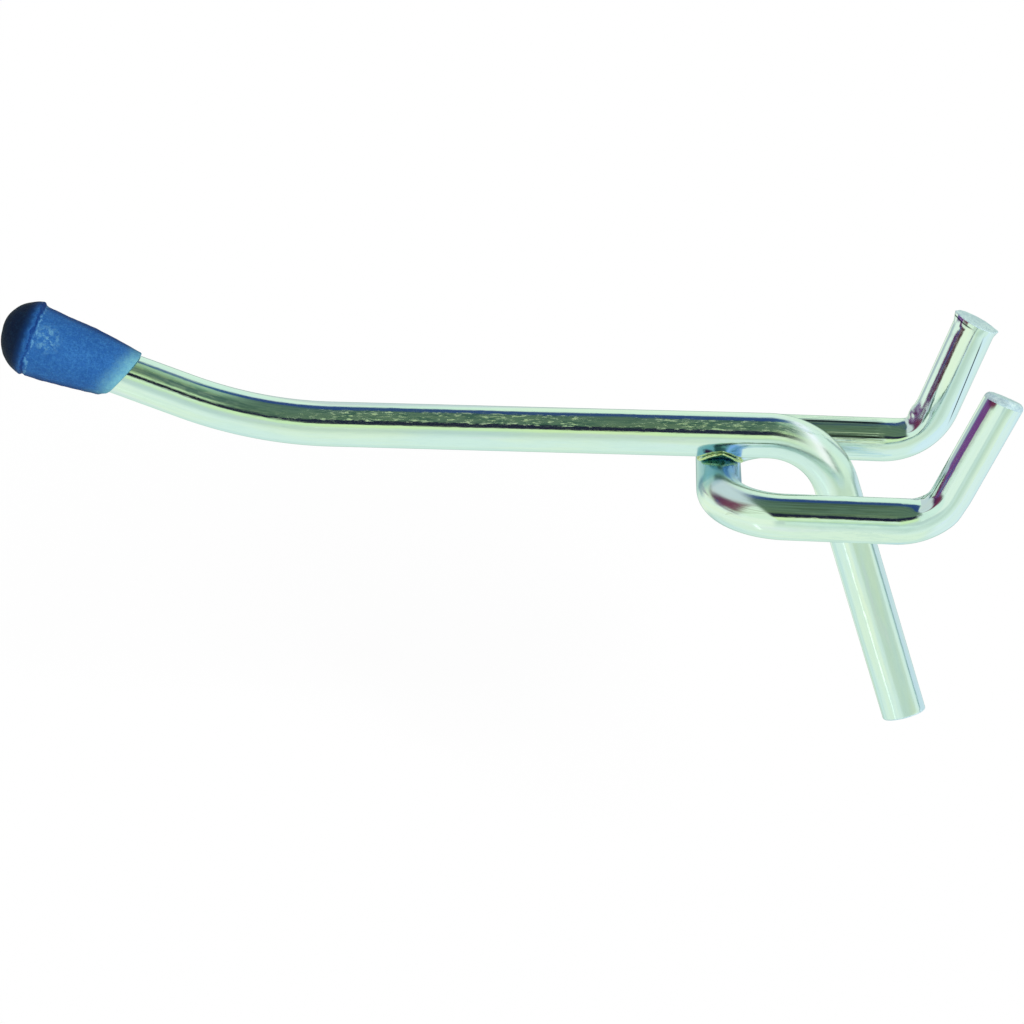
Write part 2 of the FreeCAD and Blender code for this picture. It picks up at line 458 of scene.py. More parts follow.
def smooth_outward(piece, sharp_above=None):
    """Shades the piece smooth, with its faces outward and its sharp edges kept."""
    work = bmesh.new()
    work.from_mesh(piece.data)
    bmesh.ops.recalc_face_normals(work, faces=work.faces)
    for face in work.faces:
        face.smooth = True
    if sharp_above is not None:
        for edge in work.edges:
            edge.smooth = not edge.is_manifold or edge.calc_face_angle(0) < sharp_above
    work.to_mesh(piece.data)
    work.free()


def swept_wire(name, tree, corners, inputs, node):
    """Wire for a node, along corners that are each a point and its bend radius."""
    mesh = bpy.data.meshes.new(name)
    points = [point * MM for point, _ in corners]
    mesh.from_pydata(points, [(i, i + 1) for i in range(len(points) - 1)], [])
    radii = mesh.attributes.new("bend_radius", "FLOAT", "POINT")
    for index, (_, radius) in enumerate(corners):
        radii.data[index].value = radius * MM
    piece = new_piece(name, mesh)
    modifier = piece.modifiers.new("sweep", "NODES")
    modifier.node_group = tree
    for socket in tree.interface.items_tree:
        if socket.in_out == "INPUT" and socket.name in inputs:
            modifier[socket.identifier] = inputs[socket.name]
    applied(piece)
    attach(piece, "root")
    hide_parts(node)
    return piece


def upward(degrees):
    angle = math.radians(degrees)
    return X * math.cos(angle) + Z * math.sin(angle)


def finish_end(piece, end, direction, slope, round_by, longer=0.0):
    """Slants an end face, by a slope in millimetres per millimetre across, and rounds its rim."""
    work = bmesh.new()
    work.from_mesh(piece.data)
    face = min(work.faces, key=lambda f: (f.calc_center_median() / MM - end).length)
    for vertex in face.verts:
        vertex.co += direction * ((vertex.co / MM - end).dot(slope) + longer) * MM
    rounded = bmesh.ops.bevel(
        work, geom=list(face.edges), offset=round_by * MM, offset_type="OFFSET", segments=6,
        profile=0.5, affect="EDGES",
    )
    for face in rounded["faces"]:
        face.material_index = 1
    work.to_mesh(piece.data)
    work.free()


def smooth_step(value, start, end):
    share = min(1.0, max(0.0, (value - start) / (end - start)))
    return share * share * (3 - 2 * share)


def relax(piece, centre, reach, times):
    """Eases the skin within a reach in millimetres of a point, some times over."""
    work = bmesh.new()
    work.from_mesh(piece.data)
    axes = {"use_axis_x": True, "use_axis_y": True, "use_axis_z": True}
    near = [v for v in work.verts if (v.co / MM - centre).length < reach]
    for _ in range(times):
        bmesh.ops.smooth_vert(work, verts=near, factor=0.5, **axes)
    work.to_mesh(piece.data)
    work.free()


zinc_cut = cut_finish("sheared_zinc")
drawn_wire = wire_tree()
common = {
    "Wire Radius": wire_r * MM, "Sides": 96, "Ring Spacing": 1.2 * MM, "Cut Face": zinc_cut,
}

# Edges that turn by more than this stay sharp
sharp_turn = math.radians(60)


def no_marks(tree, colour):
    return colour, 0.0


# Arm wire, from the tip inside the cap to the foot against the board
arm_run = 48.6
heel_run = 5.65
heel_bend_r = 9.1
leg_angle = 72.2
leg_run = 33.5
tip_bend_r = 52.6
tip_angle = 20.2
tip_run = 21.5
tip_setback = tip_bend_r * math.tan(math.radians(tip_angle) / 2)
heel_setback = heel_bend_r * math.tan(math.radians(leg_angle) / 2)
outward = upward(180 - tip_angle)
down = upward(-leg_angle)
tip_corner = arm_over_cross - X * (arm_run + tip_setback)
heel_corner = arm_over_cross + X * (heel_run + heel_setback)
tip_point = tip_corner + outward * (tip_run + tip_setback)
foot = heel_corner + down * (leg_run + heel_setback)
arm_corners = [(tip_point, 0), (tip_corner, tip_bend_r), (heel_corner, heel_bend_r), (foot, 0)]
arm_zinc = zinc_finish(
    "bright_zinc_arm", shine=0.06, fleck_and_mottle=1.0, heat_reach=2.2, marks=no_marks,
)
arm_inputs = {**common, "Bend Steps": 64, "Skin": arm_zinc}
arm_wire = swept_wire("arm", drawn_wire, arm_corners, arm_inputs, "arm_wire")
finish_end(arm_wire, foot, down, Y * 0.26, 0.25)
smooth_outward(arm_wire, sharp_turn)

# Peg wire, from the near prong round the crosspiece to the far prong
NEAR = -1
FAR = 1
peg_pitch = 25.4
peg_reach = 25.55
peg_corner_r = 8.0
prong_run = 17.5
prong_bend_r = 7.2
prong_angles = {NEAR: 66.7, FAR: 71.1}
far_end_slant = 0.1


def drooped(point):
    """A point of the level pegs, turned down towards the board with them."""
    return Matrix.Rotation(droop, 3, "Y") @ (point - cross) + cross


def prong_corner(side):
    return cross + X * peg_reach + Y * side * peg_pitch / 2


def prong_top(side):
    return prong_corner(side) + upward(prong_angles[side]) * prong_run


def bend_centre(side):
    """Centre of the bend between a peg and its prong."""
    setback = prong_bend_r * math.tan(math.radians(prong_angles[side]) / 2)
    return prong_corner(side) - X * setback + Z * prong_bend_r


def prong_rise(side):
    return (drooped(prong_top(side)) - drooped(prong_corner(side))).normalized()


def peg_marks(tree, colour):
    """Streaks along the pegs, partly painted reflection mottle; on the far one painted reflection
    lines, drawn ridges and a painted shadow under its burr.
    """
    place = object_place(tree)
    skin = skin_place(tree)
    x, y, z = tree.split(place)
    side = (y > 0.0) * 2 - 1
    level = cross.z - (x - cross.x) * math.tan(droop)
    turn = x.math_node("ARCTAN2", z - level, side * (peg_pitch / 2) - y) * math.degrees(1)
    far = tree.rise(y, 7.0, 10.0)
    on_peg = 1 - tree.rise(x, -1.5, 0.5)
    # Drawn streaks, darkened only in the stretch round each peg where the dark band is reflected,
    # so their colour is partly painted reflection mottle.
    streaks = tree.rise(drawn_noise(tree, skin, 0.12, 3.0, 3.0, 0.65), 0.42, 0.62)
    streaks = streaks * tree.band(turn, 31.0, 65.0, 2.0) * on_peg
    colour = tree.mix(streaks * 0.5, colour, (0.42, 0.46, 0.36))
    rise, corner = prong_rise(FAR), drooped(prong_corner(FAR))
    inward = rise.cross(Y)
    up = tree.component(place, corner, rise)
    round_prong = section_turn(tree, corner, rise, inward) * -1.0
    # Painted reflection: a dark line up the far prong, where a dark edge of the studio is reflected
    # in it.
    climbing = round_prong - (16.4 - up) * 1.17
    line = tree.band(climbing, 113.8, 117.4, 0.7) * tree.band(up, 5.0, 15.8, 1.5)
    # Painted shadow: a dark line just under the far prong's burr.
    end = tree.component(place, drooped(prong_top(FAR)), rise - inward * far_end_slant)
    burr_painted_shadow = tree.band(end, -0.50, -0.32, 0.05) * tree.band(round_prong, -20.0, 75.0, 12.0)
    # Painted reflections: dark lines along the far peg, at the edges of the dark band reflected in
    # it.
    peg_reflection_lines = tree.band(turn, 65.5, 74.5, 1.0) + tree.band(turn, 24.0, 30.0, 1.0)
    # The painted reflections and the painted shadow under the burr, all near black.
    painted_dark_marks = peg_reflection_lines * on_peg + line + burr_painted_shadow
    colour = tree.mix(painted_dark_marks.at_most(1.0) * far * 0.92, colour, (0.03, 0.05, 0.05))
    ridges = drawn_noise(tree, skin, 0.03, 5.0, 2.0, 0.6)
    return colour, ridges * on_peg * far * 1.5


def pinch_inputs(side, label, softness):
    centre = drooped(bend_centre(side))
    bisector = (drooped(prong_corner(side)) - centre).normalized()
    half_turn = math.radians(prong_angles[side]) / 2
    return {
        f"{label} Bend Centre": centre * MM, f"{label} Bisector": bisector,
        f"{label} Half Turn": half_turn, f"{label} Softness": softness,
    }


peg_zinc = zinc_finish(
    "bright_zinc_pegs", shine=0.03, fleck_and_mottle=0.15, heat_reach=7.3, marks=peg_marks,
)

# The crosspiece is bent a little out of square, which leaves the joint off its place
joint_shift = 0.3
corner_skew = 0.2
joint = cross - X * joint_shift
crosspiece = [
    cross + Y * side * peg_pitch / 2 - X * (joint_shift + corner_skew * side)
    for side in (NEAR, FAR)
]
peg_corners = [
    (prong_top(NEAR), 0), (prong_corner(NEAR), prong_bend_r), (crosspiece[0], peg_corner_r),
    (crosspiece[1], peg_corner_r), (prong_corner(FAR), prong_bend_r), (prong_top(FAR), 0),
]
peg_inputs = {
    **common, "Bend Steps": 47, "Skin": peg_zinc, "Pinched Bend Radius": prong_bend_r * MM,
    **pinch_inputs(NEAR, "Near", 0.9), **pinch_inputs(FAR, "Far", 0.5),
}
peg_corners = [(drooped(point), radius) for point, radius in peg_corners]
peg_wire = swept_wire("pegs", drawn_wire, peg_corners, peg_inputs, "peg_wire")


def squeeze_prong(side, inside, outside):
    """Flattens a prong as the bending die did, by millimetres on its inner and outer face."""
    rise = prong_rise(side)
    inward = rise.cross(Y)
    corner = drooped(prong_corner(side))
    for vertex in peg_wire.data.vertices:
        place = vertex.co / MM - corner
        share = smooth_step(place.dot(rise), 0.8, 3.6) * (abs(place.y) < wire_r * 1.1)
        depth = place.dot(inward)
        if share > 0 and abs(depth) < 2 * wire_r:
            pressed = inside if depth > 0 else outside
            vertex.co -= inward * depth * share * pressed / wire_r * MM


def bend_inward(side):
    """Direction from the corner of a peg and its prong to the centre of their bend."""
    return (drooped(bend_centre(side)) - drooped(prong_corner(side))).normalized()


def crease(side):
    """Where a peg and its prong meet on the inside, a little up the prong."""
    half_turn = math.radians(prong_angles[side]) / 2
    fold = drooped(prong_corner(side)) + bend_inward(side) * wire_r / math.cos(half_turn)
    return fold + prong_rise(side) * 1.1


def raise_hump(side, height):
    """Metal heaped and crinkled where the bend was pinched."""
    middle = crease(side)
    inward = bend_inward(side)
    for vertex in peg_wire.data.vertices:
        place = vertex.co / MM
        reach = (place - middle).length
        if reach < 4:
            crinkle = 0.3 * height * noise.noise(place * 2.1)
            crinkle += 0.1 * height * noise.noise(place * 4.3)
            heap = height * math.exp(-(reach / 1.3) ** 2) + crinkle * math.exp(-(reach / 1.9) ** 2)
            vertex.co += inward * heap * MM


def raise_burr(side, height):
    """Ragged lip that the shear pulled out round an end, with a point at either side."""
    end = drooped(prong_top(side))
    rise = prong_rise(side)
    inward = rise.cross(Y)
    for vertex in peg_wire.data.vertices:
        place = vertex.co / MM - end
        depth = place.dot(rise) - place.dot(inward) * far_end_slant
        out = place - rise * place.dot(rise)
        if abs(depth) < 0.45 and 2 < out.length < 3.2:
            side_on = abs(out.normalized().dot(inward))
            ragged = 0.7 + 0.6 * noise.noise(out * 1.7) + 1.3 * smooth_step(side_on, 0.95, 1.0)
            near_rim = smooth_step(-abs(depth), -0.42, -0.05)
            vertex.co += out.normalized() * height * ragged * near_rim * MM


def finish_prong(side, slope_across, slope_inward, round_by, longer=0.0):
    """Slants a prong's end, across and towards the arm, and rounds its rim."""
    rise = prong_rise(side)
    slope = Y * slope_across + rise.cross(Y) * slope_inward
    finish_end(peg_wire, drooped(prong_top(side)), rise, slope, round_by, longer)


finish_prong(NEAR, -0.2, -0.03, round_by=0.75, longer=0.3)
finish_prong(FAR, -0.08, far_end_slant, round_by=0.12)
squeeze_prong(NEAR, inside=0.50, outside=0.32)
squeeze_prong(FAR, inside=0.24, outside=0.0)
relax(peg_wire, crease(NEAR), 3.0, 4)
raise_hump(FAR, 0.48)
relax(peg_wire, crease(FAR), 3.4, 5)
raise_burr(FAR, 0.16)
smooth_outward(peg_wire, sharp_turn)

# Flash squeezed out of the weld: a thin fin all round the joint, with a nib towards the board
flash_start = 1.2
flash_reach = 2.7
flash_edge = 0.42
flash_steps = 8


def flash_section(turn):
    """Outline of the fin in one direction round the joint, as reach and height."""
    across, along = math.cos(turn), math.sin(turn)
    wobble = noise.noise(Vector((across, along, 0.3)) * 2.6)
    nib = max(0.0, across) ** 90
    rim = flash_reach + 0.14 * wobble + 0.36 * nib
    edge = flash_edge * (1 + 0.5 * noise.noise(Vector((across, along, 5.1)) * 3.1))
    below, above = [], []
    for step in range(flash_steps + 1):
        share = step / flash_steps
        reach = flash_start + (rim - edge / 2 - flash_start) * share
        held = min(reach, wire_r * 0.93)
        under = math.sqrt(wire_r ** 2 - (held * across) ** 2)
        over = (arm_over_cross - cross).z - math.sqrt(wire_r ** 2 - (held * along) ** 2)
        thick = min(max(over - under, 0) + 0.15, edge + 0.35 * (1 - share))
        middle = under + (over - under) * (0.5 + 0.12 * along ** 2) + 0.06 * wobble
        below.append((reach, middle - thick / 2))
        above.append((reach, middle + thick / 2))
    rounded = [
        (rim - edge / 2 + edge / 2 * math.cos(a), middle + thick / 2 * math.sin(a))
        for a in (-0.9, 0, 0.9)
    ]
    return below + rounded + above[::-1]


def make_flash():
    turns = 144
    sections = [flash_section(math.tau * k / turns) for k in range(turns)]
    size = len(sections[0])
    points = []
    for k, section in enumerate(sections):
        turn = math.tau * k / turns
        for reach, height in section:
            place = joint + Vector((math.cos(turn) * reach, math.sin(turn) * reach, height))
            points.append(place * MM)
    faces = []
    for k in range(turns):
        for j in range(size):
            after, beside = (k + 1) % turns, (j + 1) % size
            faces.append((k * size + j, after * size + j, after * size + beside, k * size + beside))
    mesh = bpy.data.meshes.new("weld_fin")
    mesh.from_pydata(points, [], faces)
    piece = new_piece("weld_fin", mesh)
    smooth_outward(piece)
    return piece


def weld_finish():
    """Bright zinc over squeezed-out metal, yellow where the passivation pooled."""
    made, tree = new_material("zinc_on_weld")
    place = object_place(tree)
    patchy = tree.noise(place, 0.8, 3.0, 0.6)
    colour = tree.mix(tree.rise(patchy, 0.35, 0.65), (0.46, 0.52, 0.16), (0.72, 0.84, 0.50))
    out = tree.vector("MULTIPLY", tree.vector("SUBTRACT", place, tuple(joint)), (1, 1, 0))
    rim = tree.rise(tree.vector("LENGTH", out), flash_reach - 0.55, flash_reach - 0.2)
    colour = tree.mix(rim, (0.30, 0.58, 0.66), colour)
    normal = tree.bump(tree.noise(place, 1.6, 2.0, 0.5), 0.06 * MM)
    shader = tree.node("ShaderNodeBsdfPrincipled", {}, {
        "Base Color": colour, "Metallic": 1.0, "Roughness": 0.16 + patchy * 0.2, "Normal": normal,
    })["BSDF"]
    finish_surface(tree, shader)
    return made


flash = make_flash()
flash.data.materials.append(weld_finish())
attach(flash, "root")
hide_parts("weld_flash")

# Tip cap, measured along the tip from the end of the wire inside it
cap_end_wall = 2.5
cap_lip_back = 1.2
cap_lip_r = 4.75
cap_lip_offset = 0.25
cap_body_r = 4.5
cap_grip = 14.7
cap_rim_r = 3.2
cap_rim_slant = math.radians(23)
cap_bore_r = 2.81
cap_bore_floor = -9.0
cap_inside_r = 3
cap_top = Y.cross(outward)

# Where the cap's side is rubbed pale
rubbed = tip_point - outward * 3.4 + cap_top * 2.2 - Y * 3.2


def cap_profile():
    """Rows of the cap, from its bore round its mouth to its end.

    Each is a place along the tip, a radius, and the shares of the lip's offset and the rim's slant.
    """
    start_r, end_r = cap_rim_r + 0.04, cap_body_r - 0.04
    body_start, body_end = -cap_grip + 0.4, -cap_lip_back - 0.75
    mouth = [
        (0.5, cap_bore_r), (0.12, 2.84), (0.02, 2.92), (0.0, 3.02), (0.04, 3.13), (0.16, cap_rim_r),
    ]
    rows = [(cap_bore_floor, cap_bore_r, 0, 1)]
    rows += [(-cap_grip + along, radius, 0, 1) for along, radius in mouth]
    rows.append((body_start, start_r, 0, 1))
    body_steps = 30
    for step in range(1, body_steps + 1):
        share = step / body_steps
        along = (1 - share) * body_start + share * body_end
        radius = start_r + (end_r - start_r) * share ** 0.93
        rows.append((along, radius, 0.2 * share ** 6, 1 - share))
    lip = [
        (0.5, cap_body_r - 0.03, 0.4), (0.32, cap_body_r + 0.02, 0.75),
        (0.16, cap_lip_r - 0.06, 1), (0.0, cap_lip_r, 1),
    ]
    rows += [(-cap_lip_back - behind, radius, share, 0) for behind, radius, share in lip]
    height = cap_end_wall + cap_lip_back
    dome_r = (cap_lip_r ** 2 + height ** 2) / (2 * height)
    dome_steps = 24
    for step in range(1, dome_steps):
        angle = math.asin(cap_lip_r / dome_r) * (1 - step / dome_steps)
        along = cap_end_wall - dome_r + dome_r * math.cos(angle)
        rows.append((along, dome_r * math.sin(angle), 1, 0))
    return rows


def cap_point(along, radius, offset, trim, turn):
    """Point of a row at a turn from the cap's top, uneven as dipped vinyl is."""
    out = radius * math.cos(turn)
    over, under = max(0.0, math.cos(turn)), max(0.0, -math.cos(turn))
    cut = trim * (cap_rim_r - out) * math.tan(cap_rim_slant) + trim * 0.2 * under ** 6
    outside = radius > cap_inside_r
    if outside and along < -cap_lip_back - 0.6:
        out += 0.24 * math.sin(math.pi * trim) * over - 0.07 * trim ** 6 * over
        out -= (0.10 + 0.22 * trim) * under * smooth_step(along, -cap_grip - 0.1, 0.9 - cap_grip)
    if along > -cap_lip_back:
        cut += 0.22 * over * math.sin(math.pi * radius / cap_lip_r)
    spot = Vector((along * 0.35, math.cos(turn) * 1.3, math.sin(turn) * 1.3))
    lump = 0.02 * noise.noise(spot) + 0.012 * noise.noise(spot * 3.7)
    swell = 1 + lump * outside
    side = cap_top * (out * swell + cap_lip_offset * offset) + Y * radius * math.sin(turn) * swell
    return (tip_point + outward * (along + cut) + side) * MM


def make_cap():
    sides = 144
    rows = cap_profile()
    points = [cap_point(*row, math.tau * k / sides) for row in rows for k in range(sides)]
    faces = []
    for row in range(len(rows) - 1):
        for k in range(sides):
            beside = (k + 1) % sides
            corner = row * sides
            faces.append((corner + k, corner + beside, corner + sides + beside, corner + sides + k))
    apex = len(points)
    points.append((tip_point + outward * cap_end_wall + cap_top * cap_lip_offset) * MM)
    inner = len(points)
    points.append((tip_point + outward * cap_bore_floor) * MM)
    last = (len(rows) - 1) * sides
    for k in range(sides):
        beside = (k + 1) % sides
        faces.append((last + k, last + beside, apex))
        faces.append((beside, k, inner))
    mesh = bpy.data.meshes.new("cap")
    mesh.from_pydata(points, [], faces)
    piece = new_piece("cap", mesh)
    smooth_outward(piece)
    return piece


def vinyl_finish():
    """Matt blue vinyl: mottled, scuffed by its ridge and pale at the mouth.

    Its dome and its silhouettes carry painted shade, its groove a painted shadow and its ridge a
    painted highlight.
    """
    made, tree = new_material("blue_vinyl")
    place = object_place(tree)
    along = tree.component(place, tip_point, outward)
    out = tree.component(place, tip_point, cap_top)
    across = tree.split(place)[1]
    fine = tree.noise(place, 2.4, 4.0, 0.75)
    cloud = tree.noise(place, 0.30, 3.0, 0.55)
    grit = tree.noise(place, 5.0, 2.0, 0.6)
    colour = tree.mix(tree.rise(cloud, 0.35, 0.70), (0.015, 0.079, 0.255), (0.021, 0.100, 0.295))
    colour = tree.mix(tree.rise(fine, 0.42, 0.66) * 0.6, colour, (0.036, 0.152, 0.345))
    colour = tree.mix(tree.rise(1 - grit, 0.46, 0.62) * 0.6, colour, (0.010, 0.062, 0.200))
    mouth = (along + cap_grip) * math.cos(cap_rim_slant)
    mouth = mouth + (out - cap_rim_r) * math.sin(cap_rim_slant)
    pale = 1 - tree.rise(mouth + fine * 2.5 + cloud * 3.0, 1.2, 5.6)
    colour = tree.mix(pale * 0.9, colour, (0.16, 0.42, 0.46))
    flaky = tree.rise(tree.noise(place, 1.6, 4.0, 0.7), 0.46, 0.64)
    rub = (1 - tree.rise(tree.distance(place, rubbed) + fine * 2.0, 0.8, 3.4)) * flaky
    colour = tree.mix(rub * 0.75, colour, (0.15, 0.36, 0.44))
    # Painted shade: the cap darkens towards its upper and lower silhouettes as seen from the
    # camera, standing in for shading at its edges.
    edge_on = (out * 0.91 + across * 0.41).function("ABSOLUTE") / (along * 0.1 + 4.85)
    silhouette_painted_shade = tree.rise(edge_on, 0.84, 0.98)
    colour = tree.mix(silhouette_painted_shade * 0.75, colour, (0.005, 0.022, 0.110))
    uneven = along + (tree.noise(place, 1.1, 2.0) - 0.5) * 0.9
    # Painted shade: the dome is darkened almost to black, darkest towards its end, standing in for
    # the shade it lies in.
    dome = tree.rise(uneven, -1.45, -0.45)
    dome_painted_shade = tree.mix(tree.rise(along, -1.2, 0.4), (0.004, 0.026, 0.100), (0.0025, 0.006, 0.018))
    dome_painted_shade = tree.mix(tree.rise(fine, 0.5, 0.7) * 0.4, dome_painted_shade, (0.008, 0.03, 0.06))
    colour = tree.mix(dome * 0.97, colour, dome_painted_shade)
    # Painted shadow in the groove just behind the dome.
    groove_painted_shadow = tree.band(uneven, -1.62, -1.25, 0.12) * tree.rise(grit + cloud, 0.75, 1.0)
    colour = tree.mix(groove_painted_shadow * 0.85, colour, (0.003, 0.022, 0.130))
    # Painted highlight: a lighter, mottled line along the ridge behind the groove.
    ridge = tree.band(uneven, -2.0, -1.74, 0.10) * tree.rise(fine, 0.40, 0.55)
    colour = tree.mix(ridge * 0.6, colour, (0.10, 0.27, 0.42))
    height = fine * 0.8 + grit * 0.4 + cloud * 1.0
    normal = tree.bump(height, 0.12 * MM)
    shader = tree.node("ShaderNodeBsdfPrincipled", {}, {
        "Base Color": colour, "Roughness": 0.5 + fine * 0.2, "Normal": normal,
        "Specular IOR Level": 0.05,
    })["BSDF"]
    finish_surface(tree, shader)
    return made


cap = make_cap()
cap.data.materials.append(vinyl_finish())
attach(cap, "root")
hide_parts("tip_cap")

# Camera where the photograph was taken from, with its focal length in the photograph's pixels
target = Vector((-46.94, 0, -5.93))
back = Vector((0.0629, -0.9099, 0.4101)).normalized()
camera_distance = 349.7
focal_pixels = 2779
photo_pixels = 1024
camera = bpy.data.objects.new("camera", bpy.data.cameras.new("camera"))
bpy.context.scene.collection.objects.link(camera)
camera.data.sensor_width = 36
camera.data.lens = camera.data.sensor_width * focal_pixels / photo_pixels
camera.data.clip_start = 10 * MM
camera.data.clip_end = 10
camera.location = (target + back * camera_distance) * MM
camera.rotation_mode = "QUATERNION"
camera.rotation_quaternion = (-back).to_track_quat("-Z", "Y")
bpy.context.scene.camera = camera

# Colours of the studio by the angle round X, in degrees up from the camera's side
left_stops = [
    (-180, (0.45, 0.52, 0.52)), (-150, (0.45, 0.52, 0.52)), (-138, (0.62, 0.70, 0.72)),
    (-126, (0.90, 0.95, 0.97)), (-110, (0.86, 0.90, 0.95)), (-95, (1, 1, 1)), (-40, (1, 1, 1)),
    (-28, (0.95, 0.95, 0.95)), (-18, (0.85, 0.87, 0.85)), (-8, (0.74, 0.77, 0.78)),
    (6, (0.76, 0.80, 0.74)), (10, (0.86, 0.95, 0.62)), (21, (0.92, 1.0, 0.62)),
    (24.5, (0.02, 0.02, 0.05)), (37, (0.02, 0.02, 0.05)), (41, (0.11, 0.16, 0.12)),
    (48, (0.17, 0.23, 0.15)), (55, (0.12, 0.17, 0.13)), (62, (0.15, 0.21, 0.15)),
    (69, (0.12, 0.175, 0.135)), (77, (0.15, 0.21, 0.16)), (85, (0.11, 0.165, 0.13)),
    (92, (0.14, 0.20, 0.15)), (100, (0.10, 0.15, 0.13)), (105, (0.10, 0.16, 0.15)),
    (109, (0.035, 0.07, 0.24)), (124, (0.05, 0.09, 0.27)), (129, (0.92, 1.0, 0.93)),
    (163, (0.95, 1.0, 0.97)), (172, (0.5, 0.56, 0.56)), (180, (0.45, 0.52, 0.52)),
]
right_stops = [
    (-20, (0.85, 0.88, 0.86)), (-6, (0.95, 1.0, 0.95)), (2, (0.62, 0.72, 0.70)),
    (8, (0.80, 0.88, 0.60)), (14, (0.95, 1.0, 0.90)), (21, (1.0, 1.0, 0.92)),
    (23.5, (0.01, 0.01, 0.03)), (37, (0.01, 0.01, 0.03)), (39, (0.90, 1.0, 0.66)),
    (44, (0.80, 0.92, 0.55)), (50, (0.36, 0.44, 0.28)), (55, (0.18, 0.22, 0.20)),
    (62, (0.26, 0.31, 0.24)), (70, (0.16, 0.21, 0.19)), (80, (0.30, 0.37, 0.24)),
    (90, (0.42, 0.55, 0.40)), (104, (0.55, 0.70, 0.52)), (110, (0.05, 0.14, 0.30)),
    (121, (0.05, 0.12, 0.32)), (127, (0.95, 1.0, 0.93)),
]


def turned_ramp(tree, around, stops):
    stops = [((angle + 180) / 360, colour) for angle, colour in stops]
    return tree.node("ShaderNodeValToRGB", {"stops": stops}, {"Fac": around})["Color"]


def studio_bands(tree, x, y, z, around):
    """Bands round X, on the flag overhead and below the hook, and a pale sky beside the flag."""
    up = z.at_least(0.02)
    lean = y / up
    edge = lean.at_least(0.0) * 0.3 + lean.at_most(0.0) * 0.1 - 0.45
    lit = tree.rise(x / up, 0.08, 0.26) * (around > 0.44) * (1 - tree.rise(around, 0.85, 0.86))
    banded = turned_ramp(tree, around, left_stops)
    banded = tree.mix(lit * 0.85, banded, turned_ramp(tree, around, right_stops))
    flag = tree.rise(x / up - edge, -0.10, 0.08)
    flag = flag * (1 - tree.rise(x / up + lean * 0.2, 0.34, 0.70))
    lilac = (0.80, 0.76, 0.87)
    faint = (1 - tree.rise(x / up, -0.30, -0.12)) * tree.rise(around, 0.68, 0.76)
    faint = faint * (z > 0.02) * 0.85
    sky = tree.mix(faint, (0.97, 1.0, 0.95), lilac)
    studio = tree.mix(1 - (1 - flag) * (z > 0.02), sky, banded)
    return tree.mix(faint * tree.rise(around, 0.853, 0.865), studio, lilac)


def studio_lights(tree, studio, x, y, z, around):
    """Bright windows low at either side, each with a duller patch or line, and a bright streak."""
    left_window = tree.band(z, -0.6, 0.05, 0.05) * tree.rise(x * -1.0, 0.12, 0.3)
    studio = tree.mix(left_window, studio, (1.1, 1.05, 1.0))
    dim = tree.band(around, 0.400, 0.462, 0.03) * tree.rise(x, 0.0, 0.2)
    dim = dim * tree.rise(z * -1.0, 0.04, 0.12)
    studio = tree.mix(dim * 0.5, studio, (0.60, 0.66, 0.58))
    slanting = x * 0.783 + y * 0.359 - z * 0.511
    streak = tree.band(slanting, -0.02, 0.18, 0.06) * (z > -0.10) * tree.rise(x, 0.30, 0.45)
    studio = tree.mix(streak, studio, (1.50, 1.22, 1.50))
    low_right = tree.rise(x, 0.25, 0.4) * tree.rise(z * -1.0, 0.06, 0.10)
    beyond = y - z * 1.634 - 0.481
    right_window = low_right * tree.rise(beyond, 0.04, 0.10)
    studio = tree.mix(right_window * 0.7, studio, (1.0, 1.0, 1.25))
    thin_line = tree.band(beyond, -0.04, 0.04, 0.015) * low_right * tree.rise(z, -0.42, -0.34)
    return tree.mix(thin_line, studio, (0.34, 0.44, 0.50))


def studio_cards(tree, studio, x, y, z):
    """A glint and the cards, by height and by the angle aside, in degrees from -X to the camera."""
    aside = y.math_node("ARCTAN2", y * -1.0, x * -1.0) * math.degrees(1)
    glint = tree.band(aside, 49.0, 51.5, 1.0) * tree.band(z, -0.80, -0.50, 0.05)
    studio = tree.mix(glint, studio, (1.9, 1.9, 1.9))
    high_card = tree.band(aside, -24.0, 30.0, 8.0) * tree.rise(z, 0.05, 0.18)
    high_card = high_card * (1 - tree.rise(z - aside * 0.008, 0.48, 0.76))
    bow = 0.066 - (aside - 2.0) * (aside - 2.0) * 0.00006
    near_card = tree.band(aside, -38.0, 3.0, 3.0) * tree.rise(z - bow, -0.006, 0.006)
    near_card = near_card * (1 - tree.rise(z, 0.13, 0.19))
    far_card = tree.band(z + aside * 0.0022, -0.005, 0.078, 0.006)
    far_card = tree.band(aside, -10.0, 29.0, 3.0) * far_card
    pale_card = tree.band(aside, -60.0, -38.0, 4.0) * tree.band(z, -0.26, 0.06, 0.02)
    studio = tree.mix(pale_card * 0.7, studio, (0.38, 0.42, 0.56))
    card = tree.mix(tree.rise(aside, 8.0, 22.0), (0.16, 0.05, 0.16), (0.09, 0.022, 0.04))
    purple = tree.mix(tree.rise(aside, -37.0, -26.0), (0.22, 0.15, 0.40), (0.24, 0.07, 0.29))
    card = tree.mix(near_card, card, purple)
    red = tree.mix(tree.rise(aside, -20.0, 10.0), (0.10, 0.02, 0.10), (0.21, 0.035, 0.10))
    card = tree.mix(tree.rise(z, 0.10, 0.20), card, red)
    return tree.mix((high_card + near_card + far_card).at_most(1.0), studio, card)


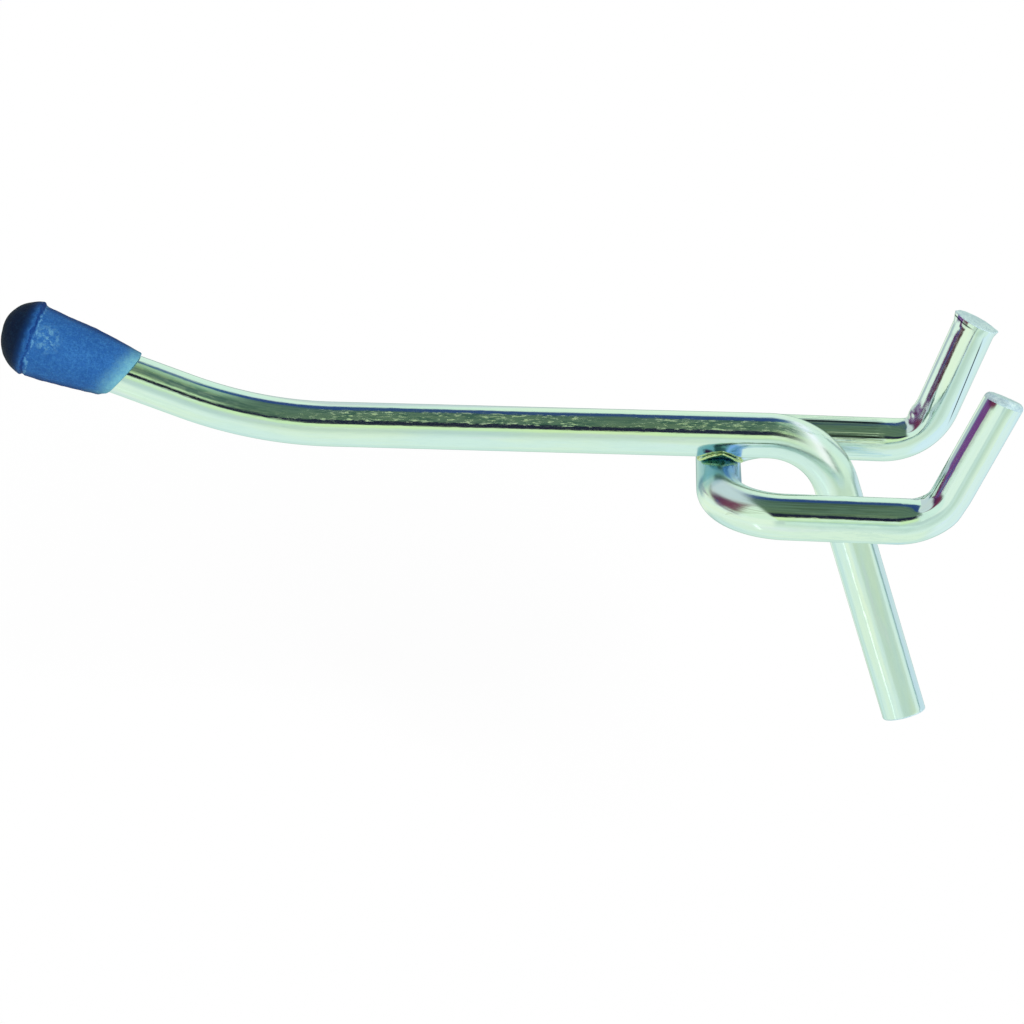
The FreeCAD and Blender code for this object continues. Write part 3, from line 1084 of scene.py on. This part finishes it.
def studio_world():
    """White studio with a dark flag overhead, which only polished metal shows."""
    world = bpy.data.worlds.new("studio")
    world.use_nodes = True
    world.node_tree.nodes.clear()
    tree = Tree(world.node_tree)
    ray = tree.node("ShaderNodeLightPath")
    x, y, z = tree.split(tree.node("ShaderNodeTexCoord")["Generated"])
    around = y.math_node("ARCTAN2", z, y * -1.0) / math.tau + 0.5
    studio = studio_bands(tree, x, y, z, around)
    studio = studio_lights(tree, studio, x, y, z, around)
    studio = studio_cards(tree, studio, x, y, z)
    studio = tree.tint(studio, (0.80, 0.97, 0.84))
    seen = tree.mix(ray["Is Glossy Ray"], (0.66, 0.66, 0.66), studio)
    seen = tree.mix(ray["Is Camera Ray"], seen, (1, 1, 1))
    shader = tree.node("ShaderNodeBackground", {}, {"Color": seen, "Strength": 1.0})["Background"]
    tree.node("ShaderNodeOutputWorld", {}, {"Surface": shader})
    bpy.context.scene.world = world


def studio_floor():
    """Pale floor well below the hook, which keeps its shadow and is white elsewhere."""
    foot_level = -33.6
    drop = 75
    level = foot_level - drop
    half = 3000
    mesh = bpy.data.meshes.new("floor")
    corners = [(-1, -1), (1, -1), (1, 1), (-1, 1)]
    places = [Vector((x * half, y * half, level)) * MM for x, y in corners]
    mesh.from_pydata(places, [], [(0, 1, 2, 3)])
    floor = new_piece("floor", mesh)
    made, tree = new_material("pale_floor")
    ray = tree.node("ShaderNodeLightPath")
    matt = tree.node("ShaderNodeBsdfDiffuse", {}, {"Color": (0.92, 0.92, 0.92, 1)})["BSDF"]
    white = tree.node("ShaderNodeEmission", {}, {"Color": (1, 1, 1, 1), "Strength": 1.0})
    inputs = {0: ray["Is Camera Ray"] * 0.8, 1: matt, 2: white["Emission"]}
    shader = tree.node("ShaderNodeMixShader", {}, inputs)["Shader"]
    finish_surface(tree, shader)
    mesh.materials.append(made)
    floor.visible_glossy = False


def soft_sun(place, strength, spread):
    """Broad sun from the right and the front, as from a large window."""
    sun = bpy.data.objects.new("window", bpy.data.lights.new("window", "SUN"))
    bpy.context.scene.collection.objects.link(sun)
    sun.data.energy = strength
    sun.data.angle = math.radians(spread)
    sun.rotation_mode = "QUATERNION"
    sun.rotation_quaternion = Vector(place).to_track_quat("Z", "Y")
    sun.visible_glossy = False


studio_world()
studio_floor()
soft_sun((0.30, -0.80, 0.45), strength=2.9, spread=18)

bpy.context.scene.view_settings.view_transform = "Standard"
